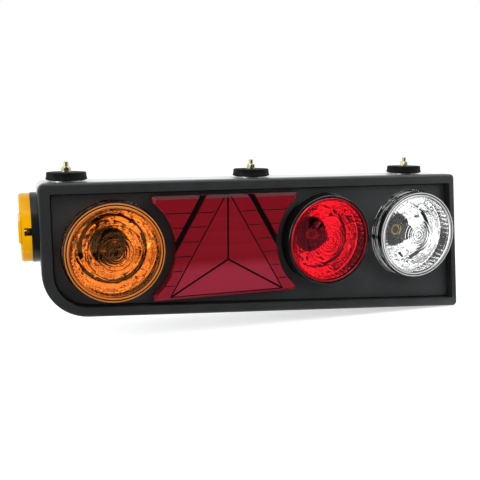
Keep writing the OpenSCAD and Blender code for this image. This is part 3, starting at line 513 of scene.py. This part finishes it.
def paint_lens(mesh, back, painted, lined):
    """Gives a lens's rim its glowing material, the rim's grooves and the lined rings a shaded one,
    and a painted lens's outer wall its black one."""
    for polygon in mesh.polygons:
        spot = back @ polygon.center
        radius = math.hypot(spot.x, spot.y)
        if painted and radius > LENS_R - PAINT_IN and spot.z < LENS_RIM + PAINT_UP:
            polygon.material_index = SKIRT
        elif spot.z > LENS_RIM - RIM_DOWN and radius > LENS_R - RIM_IN:
            # The rim's grooves, its shoulder and its outer edge get painted shade
            groove = spot.z < LENS_RIM - GROOVE_DOWN and radius < LENS_R - GROOVE_IN
            shoulder = LENS_R - SHOULDER[0] < radius < LENS_R - SHOULDER[1]
            shaded = groove or shoulder or radius > LENS_R + SKIRT_OUT
            polygon.material_index = SHADE if shaded else RIM
        elif LENS_RIM - LENS_WALL - 1 < spot.z < dome(radius) - LENS_WALL / 2:
            # Lines of painted shade along the moulded rings
            if any(abs(radius - centre) < RING_LINE for centre, _ in lined):
                polygon.material_index = SHADE


# Materials


def moulded_abs(name, dark, light, rough, size=0.5, gloss=0.5):
    """Injection-moulded ABS: a fine spark-eroded grain, drawn coarser than the real one so that it
    shows, breaks its reflections into a soft sheen, and its edges, rounded by the mould, catch a thin
    line of light."""
    made, tree, body = new_material(name, Roughness=rough, IOR=1.53, Specular_IOR_Level=gloss)
    vary(tree, body, "Base Color", 24.0, linear(dark), linear(light))
    grain(tree, body, size, 0.03, edge=0.5)
    return made


def moulded_rubber(name, dark, light):
    """Press-moulded EPDM rubber: matt, with a faint bloom in patches."""
    made, tree, body = new_material(name, IOR=1.5, Specular_IOR_Level=0.15)
    vary(tree, body, "Base Color", 9.0, linear(dark), linear(light))
    vary(tree, body, "Roughness", 6.0, 0.55, 0.8)
    grain(tree, body, 0.7, 0.05)
    return made


def moulded_acrylic(name, tint, rough=0.0, share=1.0, gloss=0.5):
    """Injection-moulded acrylic: clear tinted plastic whose faint flow waves bend what lies behind.
    Share is how much light passes; the rest scatters in the pigment."""
    made, tree, body = new_material(
        name, Base_Color=tint, Roughness=rough, IOR=1.49, Transmission_Weight=share,
        Specular_IOR_Level=gloss,
    )
    grain(tree, body, 30.0, 0.01, 1.0)
    return made


def metallised_plastic(name, tint, rough):
    """Vacuum-metallised ABS: a mirror of aluminium with a slight haze from the lacquer over it."""
    made, tree, body = new_material(name, Metallic=1.0, Base_Color=linear(tint))
    vary(tree, body, "Roughness", 7.0, rough, rough + 0.01)
    grain(tree, body, 18.0, 0.01, 0.0)
    return made


def hazy_tray(name):
    """Spray-silvered ABS: so rough that it throws light about almost like white paint."""
    made, tree, body = new_material(name, Metallic=0.1, Roughness=0.5)
    vary(tree, body, "Base Color", 12.0, linear("#f2f2f2"), linear("#fafafa"))
    grain(tree, body, 3.0, 0.02, 1.0)
    return made


def triangle_marks(tree):
    """Masks of the triangle on the tail lens: its outline and spokes, its inside, all that lies below
    its centre and the shade of the level bands."""
    half = bpy.context.scene.taillight.seam_width / 2
    low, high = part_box("triangle_reflector")
    reach = (high.x - low.x) / math.sqrt(3) + TRIANGLE_OUT
    centre = Vector(((low.x + high.x) / 2, 0.0, low.z + (reach - TRIANGLE_OUT) / 2))
    place = add_node(
        tree, "ShaderNodeVectorMath", {0: object_place(tree)}, {1: centre}, operation="SUBTRACT"
    )
    lines = inside = lower = bands = None
    for turn in (90, 210, 330):
        spun = add_node(
            tree,
            "ShaderNodeVectorRotate",
            {"Vector": place},
            rotation_type="Y_AXIS",
            Angle=math.radians(turn),
        )
        axes = add_node(tree, "ShaderNodeSeparateXYZ", {0: spun})
        along = axes.outputs["X"]
        side = add_node(tree, "ShaderNodeMath", {0: axes.outputs["Z"]}, operation="ABSOLUTE")
        narrow = add_node(tree, "ShaderNodeMath", {0: side}, {1: half}, operation="LESS_THAN")
        ahead = add_node(tree, "ShaderNodeMath", {0: along}, {1: 0.0}, operation="GREATER_THAN")
        spoke = add_node(tree, "ShaderNodeMath", {0: narrow, 1: ahead}, operation="MULTIPLY")
        edge = add_node(
            tree,
            "ShaderNodeMath",
            {0: along},
            {1: -reach / 2, 2: half * OUTLINE_WIDER},
            operation="COMPARE",
        )
        within = add_node(
            tree, "ShaderNodeMath", {0: along}, {1: -reach / 2}, operation="GREATER_THAN"
        )
        both = add_node(tree, "ShaderNodeMath", {0: spoke, 1: edge}, operation="MAXIMUM")
        if lines is None:
            lower = add_node(
                tree,
                "ShaderNodeMapRange",
                {"Value": along},
                From_Min=PALE_FROM,
                From_Max=PALE_TO,
                To_Min=1.0,
                To_Max=0.0,
            )
            # Level bands whose tone ramps across each one: painted shade of the stepped ribs behind
            # the lens
            pitch = add_node(
                tree, "ShaderNodeMath", {0: along}, {1: BAND_PITCH}, operation="DIVIDE"
            )
            bands = add_node(tree, "ShaderNodeMath", {0: pitch}, operation="FRACT")
            lines, inside = both, within
        else:
            lines = add_node(tree, "ShaderNodeMath", {0: lines, 1: both}, operation="MAXIMUM")
            inside = add_node(tree, "ShaderNodeMath", {0: inside, 1: within}, operation="MULTIPLY")
    inked = add_node(tree, "ShaderNodeMath", {0: lines, 1: inside}, operation="MULTIPLY")
    return inked, inside, lower, bands


def tail_acrylic(name, tint, pale, ink, gloss=0.5):
    """Injection-moulded acrylic, deep red: most of the light scatters in its pigment, so it hides the
    tray. The triangle's outline and spokes are dark seams, and it looks paler below its centre."""
    made, tree, body = new_material(
        name, Roughness=0.07, IOR=1.49, Transmission_Weight=0.35, Specular_IOR_Level=gloss
    )
    lines, inside, lower, bands = triangle_marks(tree)
    # Paler across each band inside the triangle: painted shade of the stepped ribs behind the lens
    shade = add_node(tree, "ShaderNodeMapRange", {"Value": bands}, To_Max=BAND_PAINTED_SHADE)
    banded = add_node(tree, "ShaderNodeMath", {0: shade, 1: inside}, operation="MULTIPLY")
    share = add_node(tree, "ShaderNodeMapRange", {"Value": inside}, To_Min=PALE_OUTSIDE)
    below = add_node(tree, "ShaderNodeMath", {0: share, 1: lower}, operation="MULTIPLY")
    part = add_node(tree, "ShaderNodeMath", {0: banded, 1: below}, operation="MAXIMUM")
    toned = add_node(tree, "ShaderNodeMix", {0: part}, {6: tint, 7: pale}, data_type="RGBA")
    inked = add_node(
        tree, "ShaderNodeMix", {0: lines, 6: toned.outputs[2]}, {7: ink}, data_type="RGBA"
    )
    tree.links.new(inked.outputs[2], body.inputs["Base Color"])
    grain(tree, body, 14.0, 0.02, 1.0, edge=0.25)
    return made


def prism_plate(name):
    """Moulded retro-reflector: red corner prisms, too small to tell apart, that scatter like paint."""
    made, tree, body = new_material(name, Roughness=0.25, IOR=1.49)
    vary(tree, body, "Base Color", 3.0, linear("#b4646e"), linear("#c8747e"))
    grain(tree, body, 1.6, 0.05, 1.0)
    return made


def plated_steel(name, dark, light, rough):
    """Zinc-plated steel, passivated: cloudy patches of colour over a bright metal."""
    made, tree, body = new_material(name, Metallic=1.0)
    vary(tree, body, "Base Color", 2.2, linear(dark), linear(light))
    vary(tree, body, "Roughness", 1.4, rough, rough + 0.12)
    grain(tree, body, 0.6, 0.02)
    return made


def drawn_brass(name):
    """Drawn brass: soft patches of tone over a satin metal."""
    made, tree, body = new_material(name, Metallic=1.0)
    vary(tree, body, "Base Color", 3.0, linear("#b3924a"), linear("#c9aa62"))
    vary(tree, body, "Roughness", 2.0, 0.25, 0.38)
    grain(tree, body, 0.4, 0.02)
    return made


def blown_glass(name):
    """Blown soda glass: thin and clear, with slow waves in its wall. The bulb is solid here, so a low
    IOR lets it pass light as straight as the real thin shell does, and the coat gives its gloss."""
    made, tree, body = new_material(
        name, Base_Color=linear("#f6f8f8"), Roughness=0.0, IOR=1.05, Transmission_Weight=1.0,
        Coat_Weight=0.25, Coat_Roughness=0.02,
    )
    grain(tree, body, 8.0, 0.05, 1.0)
    return made


def make_materials(settings):
    """Makes every material."""
    ink = linear("#1c0508")
    FINISHES.update({
        "frame_black": moulded_abs("Moulded ABS, black grained", "#26292a", "#2c2f30", 0.42),
        "plate_black": moulded_abs("Moulded ABS, black satin", "#2c2e30", "#323436", 0.5),
        "housing_pale": moulded_abs("Moulded ABS, pale grey", "#e8eaea", "#eceeee", 0.38, 0.8),
        "body_black": moulded_abs("Moulded nylon, black", "#0a0a0b", "#101011", 0.5, gloss=0.12),
        "divider_black": moulded_abs("Moulded ABS, deep black", "#0b0b0c", "#101011", 0.4),
        "marker_base_black": moulded_abs(
            "Moulded ABS, blue black", "#14181b", "#191d21", 0.3, gloss=0.2
        ),
        "gland_black": moulded_abs("Moulded nylon, black glossy", "#1a1b1c", "#212223", 0.32),
        "block_cream": moulded_abs("Moulded urea, cream", "#dcd8c8", "#e6e2d4", 0.35),
        "seal_rubber": moulded_rubber("Moulded EPDM seal", "#101010", "#161616"),
        "buffer_rubber": moulded_rubber("Moulded EPDM buffer", "#050505", "#0a0a0a"),
        "skirt_black": moulded_abs(
            "Moulded acrylic, black painted behind", "#0c0c0d", "#121213", 0.12, 6.0
        ),
        "channel_black": moulded_abs(
            "Moulded ABS, black channel insert", "#0a0405", "#12080a", 0.25
        ),
        "rim_shade": moulded_acrylic(
            "Moulded acrylic, rim groove in shade", linear("#2c2624"), share=0.6
        ),
        "groove_red": moulded_abs("Moulded acrylic, groove in shade", "#1c0508", "#26070b", 0.3),
        "triangle_red": prism_plate("Moulded acrylic, red prism plate"),
        "lens_amber": moulded_acrylic("Moulded acrylic, amber", settings.amber_tint),
        "lens_red": moulded_acrylic("Moulded acrylic, signal red", settings.red_tint),
        "lens_clear": moulded_acrylic("Moulded acrylic, clear", settings.clear_tint),
        "lens_amber_rim": moulded_acrylic(
            "Moulded acrylic, amber rim", linear("#ff9638"), share=0.35
        ),
        "lens_red_rim": moulded_acrylic("Moulded acrylic, red rim", linear("#d81c30"), share=0.6),
        "lens_clear_rim": moulded_acrylic(
            "Moulded acrylic, clear rim", linear("#fafcfc"), share=0.35
        ),
        "tail_red": tail_acrylic(
            "Moulded acrylic, deep red", settings.tail_colour, linear("#b4344a"), ink
        ),
        "tail_bevel": tail_acrylic(
            "Moulded acrylic, bevel in shade", linear("#560c15"), linear("#621824"), ink, 0.02
        ),
        "marker_amber": moulded_acrylic(
            "Moulded acrylic, yellow amber", settings.marker_tint, 0.06, share=0.12, gloss=0.06
        ),
        "reflector_silver": metallised_plastic("Metallised ABS, bright", "#f8f8f8", 0.0),
        "tray_silver": hazy_tray("Spray-silvered ABS, hazy"),
        "bulb_glass": blown_glass("Blown bulb glass"),
        "bulb_brass": drawn_brass("Drawn brass"),
        "zinc_steel": plated_steel("Zinc-plated steel, clear", "#9a9ea1", "#b9bcbe", 0.22),
        "yellow_zinc": plated_steel("Zinc-plated steel, yellow", "#b4ad7c", "#d2cfb0", 0.24),
    })


def give(mesh, *finishes):
    """Adds materials to a mesh, in the order of their indices."""
    for finish in finishes:
        mesh.materials.append(FINISHES[finish])


# Stage


def seen_rays(tree, path):
    """1 for rays that come from the camera, from gloss or through glass."""
    outer = add_node(
        tree,
        "ShaderNodeMath",
        {0: path.outputs["Is Camera Ray"], 1: path.outputs["Is Glossy Ray"]},
        operation="MAXIMUM",
    )
    return add_node(
        tree,
        "ShaderNodeMath",
        {0: outer, 1: path.outputs["Is Transmission Ray"]},
        operation="MAXIMUM",
    )


def lifted(tree, path, seen, through):
    """A strength that is higher for rays which come through a lens, whose tint and gloss take some
    of it away again."""
    return add_node(
        tree,
        "ShaderNodeMapRange",
        {"Value": path.outputs["Is Transmission Ray"]},
        To_Min=seen,
        To_Max=through,
    )


def white_to_camera(tree, surface):
    """Lifts a pale floor to white where it is seen, and keeps the object's shadow on it."""
    path = tree.nodes.new("ShaderNodeLightPath")
    glow = add_node(
        tree,
        "ShaderNodeEmission",
        {"Strength": lifted(tree, path, *FLOOR_SEEN)},
        Color=linear(WHITE),
    )
    none = add_node(tree, "ShaderNodeEmission", Color=linear(WHITE), Strength=0.0)
    seen = add_node(tree, "ShaderNodeMixShader", {0: seen_rays(tree, path), 1: none, 2: glow})
    both = add_node(tree, "ShaderNodeAddShader", {0: surface, 1: seen})
    out = next(n for n in tree.nodes if n.type == "OUTPUT_MATERIAL")
    tree.links.new(both.outputs[0], out.inputs["Surface"])


def make_floor(scene, height):
    """A wide white floor."""
    mesh = bpy.data.meshes.new("floor")
    corners = [(x * FLOOR_HALF, y * FLOOR_HALF, 0) for x, y in ((-1, -1), (1, -1), (1, 1), (-1, 1))]
    mesh.from_pydata(corners, [], [(0, 1, 2, 3)])
    floor = bpy.data.objects.new("floor", mesh)
    floor.location = (0, 0, height)
    scene.collection.objects.link(floor)
    floor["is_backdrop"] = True
    made, tree, body = new_material("Painted floor, white", Roughness=0.7)
    body.inputs["Base Color"].default_value = linear("#f4f4f4")
    white_to_camera(tree, body)
    mesh.materials.append(made)


def make_world(scene):
    """A white room that lights softly, and is full white where it is seen."""
    world = bpy.data.worlds.new("Studio")
    scene.world = world
    world.use_nodes = True
    tree = world.node_tree
    tree.nodes.clear()
    dim = add_node(tree, "ShaderNodeBackground", Color=linear(WHITE), Strength=WORLD_LIGHT)
    path = tree.nodes.new("ShaderNodeLightPath")
    white = add_node(
        tree,
        "ShaderNodeBackground",
        {"Strength": lifted(tree, path, *WORLD_SEEN)},
        Color=linear(WHITE),
    )
    mix = add_node(tree, "ShaderNodeMixShader", {0: seen_rays(tree, path), 1: dim, 2: white})
    add_node(tree, "ShaderNodeOutputWorld", {"Surface": mix})


def lamp(name, place, target, size, power):
    """An area lamp at place that faces target."""
    data = bpy.data.lights.new(name, "AREA")
    data.shape = "RECTANGLE"
    data.size, data.size_y = size
    data.energy = power
    made = bpy.data.objects.new(name, data)
    made.location = place
    made.rotation_euler = (Vector(target) - Vector(place)).to_track_quat("-Z", "Y").to_euler()
    bpy.context.scene.collection.objects.link(made)


def card(name, rows, colour, seen_by, glow=0.0):
    """A dull or lit card, a strip between rows of two points, that only one kind of ray sees."""
    mesh = bpy.data.meshes.new(name)
    points = [p for row in rows for p in row]
    faces = [(2 * n, 2 * n + 1, 2 * n + 3, 2 * n + 2) for n in range(len(rows) - 1)]
    mesh.from_pydata(points, [], faces)
    made = bpy.data.objects.new(name, mesh)
    bpy.context.scene.collection.objects.link(made)
    made.visible_camera = made.visible_diffuse = made.visible_shadow = False
    made.visible_glossy = seen_by == "glossy"
    made.visible_transmission = seen_by == "transmission"
    face, _, body = new_material("Card " + name, Roughness=1.0, Emission_Strength=glow)
    body.inputs["Base Color"].default_value = linear(colour)
    body.inputs["Emission Color"].default_value = linear(colour)
    mesh.materials.append(face)
    made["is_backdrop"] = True


def upright(x, y, wide, low, high):
    """Rows of an upright card across the view."""
    return [[(x, y, z), (x + wide, y, z)] for z in (low, high)]


def make_cards(ground, gleam):
    """The cards that gloss and the bowls mirror."""
    section = [(y, ground + up) for y, up in DARK_SECTION] + [DARK_TOP]
    rows = [[(x, *spot) for x in DARK_X] for spot in section]
    card("dark_card", rows, "#1c1c1c", "glossy")
    rows = [[(x, *spot) for spot in GLEAM_SECTION] for x in GLEAM_X]
    card("gleam", rows, WHITE, "glossy", gleam)
    rows = [[(x, y, ground) for x in MAT_X] for y in MAT_Y]
    card("dark_mat", rows, BLACK, "transmission")
    for number, (x, wide, low, high) in enumerate(SLATS):
        card(f"slat_{number}", upright(x, SLAT_Y, wide, low, high), BLACK, "transmission")
    for number, (x, wide, low, high, glow) in enumerate(STRIPS):
        card(f"strip_{number}", upright(x, STRIP_Y, wide, low, high), WHITE, "transmission", glow)
    pick = random.Random(SPOT_SEED)
    for number in range(GLINTS + MARKS):
        x, low = pick.uniform(*SPOT_X), pick.uniform(*SPOT_Z)
        if number < GLINTS:
            colour, glow, (wide, tall) = WHITE, GLINT_GLOW, GLINT_SIZE
        else:
            colour, glow = BLACK, 0.0
            wide, tall = pick.uniform(*MARK_WIDE), pick.uniform(*MARK_TALL)
        rows = upright(x, SPOT_Y, wide, low, low + tall)
        card(f"spot_{number}", rows, colour, "transmission", glow)


def make_camera(scene, lens_mm):
    """The camera at the photo's viewing angle."""
    data = bpy.data.cameras.new("camera")
    data.sensor_width = CAMERA_SENSOR
    data.lens = lens_mm
    data.clip_start = CAMERA_NEAR
    camera = bpy.data.objects.new("camera", data)
    camera.location = CAMERA_PLACE
    yaw, pitch = math.radians(CAMERA_YAW), math.radians(CAMERA_PITCH)
    camera.rotation_euler = (math.pi / 2 + pitch, 0.0, -yaw)
    scene.collection.objects.link(camera)
    scene.camera = camera


# Settings, operators and panel


def colour_setting(name, description, text):
    """A colour that a user can change, with an sRGB hex default."""
    return FloatVectorProperty(
        name=name, description=description, default=linear(text), size=4, min=0.0, max=1.0,
        subtype="COLOR",
    )


class TailLightSettings(bpy.types.PropertyGroup):
    """Colours, sizes and light that a user would change."""

    amber_tint: colour_setting("Indicator", "Tint of the indicator lens", "#ffb46c")
    red_tint: colour_setting("Stop lamp", "Tint of the stop lens", "#fb5165")
    clear_tint: colour_setting("Reversing lamp", "Tint of the reversing lens", "#fdfefe")
    tail_colour: colour_setting("Tail lens", "Pigment of the tail lens", "#981624")
    marker_tint: colour_setting("Side marker", "Tint of the side marker's lens", "#ffb808")
    seam_width: FloatProperty(
        name="Seam width", description="Width of the triangle's dark seams", default=0.0024,
        min=0.0, unit="LENGTH",
    )
    key_power: FloatProperty(
        name="Key light", description="Power of the big soft light above", default=8.0, min=0.0
    )
    fill_power: FloatProperty(
        name="Fill light", description="Power of the light from the right front", default=11.0,
        min=0.0,
    )
    side_power: FloatProperty(
        name="Side light", description="Power of the light from the left", default=5.5, min=0.0
    )
    gleam: FloatProperty(
        name="Gleam", description="Strength of the lit card that draws the edges", default=2.5,
        min=0.0,
    )
    lens_mm: FloatProperty(
        name="Camera lens", description="Focal length of the camera", default=46.94, unit="CAMERA"
    )


class TAILLIGHT_OT_materials(bpy.types.Operator):
    """Gives every CAD node its material"""

    bl_idname = "taillight.materials"
    bl_label = "Materials"

    def execute(self, context):
        make_materials(context.scene.taillight)
        slots = {part["node"]: part["material_slot"] for part in frame["record"]["subparts"]}
        for name, piece in NODES.items():
            piece.data.materials.clear()
            give(piece.data, OWN_FINISH.get(name, slots[name]))
            for polygon in piece.data.polygons:
                polygon.use_smooth = True
            piece.data.set_sharp_from_angle(angle=math.radians(CAD_CREASE))
        return {"FINISHED"}


class TAILLIGHT_OT_lenses(bpy.types.Operator):
    """Makes the three round lenses with their rims, ring optics and prisms"""

    bl_idname = "taillight.lenses"
    bl_label = "Round lenses"

    def execute(self, context):
        for node, slot in (
            ("indicator_lens", "lens_amber"),
            ("stop_lens", "lens_red"),
            ("reversing_lens", "lens_clear"),
        ):
            place = lamp_place(node)
            piece = ring_piece(node + "_fine", lens_rows(), LENS_STEPS, place)
            piece.data.set_sharp_from_angle(angle=math.radians(LENS_CREASE))
            give(piece.data, slot, slot + "_rim", "skirt_black", "rim_shade")
            lined = RINGS[:CLEAR_LINES] if node == "reversing_lens" else RINGS
            paint_lens(piece.data, place.inverted(), node == "stop_lens", lined)
            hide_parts(node)
        return {"FINISHED"}


class TAILLIGHT_OT_reflectors(bpy.types.Operator):
    """Makes the three reflectors with bands of flat facets and a fluted wall"""

    bl_idname = "taillight.reflectors"
    bl_label = "Reflectors"

    def execute(self, context):
        for seed, name in enumerate(("indicator", "stop", "reversing"), REFLECTOR_SEED):
            place = lamp_place(name + "_lens")
            piece = ring_piece(
                name + "_reflector_fine", reflector_rows(seed), REFLECTOR_STEPS, place
            )
            piece.data.set_sharp_from_angle(angle=math.radians(REFLECTOR_CREASE))
            give(piece.data, "reflector_silver")
            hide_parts(name + "_reflector")
        return {"FINISHED"}


class TAILLIGHT_OT_tail(bpy.types.Operator):
    """Gives the tail lens its black channels, dark grooves and shaded top bevel"""

    bl_idname = "taillight.tail"
    bl_label = "Tail lens"

    def execute(self, context):
        lens = NODES["tail_lens"].data
        give(lens, "channel_black", "groove_red", "tail_bevel")
        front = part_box("tail_lens")[0].y
        for polygon in lens.polygons:
            depth = polygon.center.y - front
            normal = polygon.normal
            floor = normal.y < FLOOR_FACES
            if floor and CHANNEL_DEPTH[0] < depth < CHANNEL_DEPTH[1]:
                polygon.material_index = CHANNEL
            # The groove floors get painted shade, and the top bevel a darker, duller red as painted
            # shade
            elif floor and GROOVE_DEPTH[0] < depth < GROOVE_DEPTH[1]:
                polygon.material_index = GROOVE
            elif normal.z > BEVEL_RISES and BEVEL_FACES[0] < normal.y < BEVEL_FACES[1]:
                polygon.material_index = BEVEL
        return {"FINISHED"}


class TAILLIGHT_OT_stage(bpy.types.Operator):
    """Makes the floor, the world, the lamps, the cards and the camera"""

    bl_idname = "taillight.stage"
    bl_label = "Stage"

    def execute(self, context):
        scene = context.scene
        settings = scene.taillight
        scene.view_settings.view_transform = "Standard"
        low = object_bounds()[0]
        make_floor(scene, low.z - FLOOR_GAP)
        make_world(scene)
        for name, setup in LAMPS.items():
            lamp(name, *setup, getattr(settings, name + "_power"))
        make_cards(low.z + CARD_GAP, settings.gleam)
        make_camera(scene, settings.lens_mm)
        return {"FINISHED"}


class TAILLIGHT_PT_panel(bpy.types.Panel):
    """Lists the settings and the operators"""

    bl_label = "Tail light cluster"
    bl_idname = "TAILLIGHT_PT_panel"
    bl_space_type = "VIEW_3D"
    bl_region_type = "UI"
    bl_category = "Tail light"

    def draw(self, context):
        for name in TailLightSettings.__annotations__:
            self.layout.prop(context.scene.taillight, name)
        for operator in STEPS:
            self.layout.operator(operator.bl_idname)


STEPS = (
    TAILLIGHT_OT_materials,
    TAILLIGHT_OT_lenses,
    TAILLIGHT_OT_reflectors,
    TAILLIGHT_OT_tail,
    TAILLIGHT_OT_stage,
)
CLASSES = (TailLightSettings, *STEPS, TAILLIGHT_PT_panel)


def register():
    """Registers the classes and the scene's settings."""
    for each in CLASSES:
        bpy.utils.register_class(each)
    bpy.types.Scene.taillight = PointerProperty(type=TailLightSettings)


def unregister():
    """Removes the scene's settings and the classes."""
    del bpy.types.Scene.taillight
    for each in reversed(CLASSES):
        bpy.utils.unregister_class(each)


def main():
    """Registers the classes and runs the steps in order."""
    register()
    bpy.ops.taillight.materials()
    bpy.ops.taillight.lenses()
    bpy.ops.taillight.reflectors()
    bpy.ops.taillight.tail()
    bpy.ops.taillight.stage()


if __name__ == "__main__":
    main()
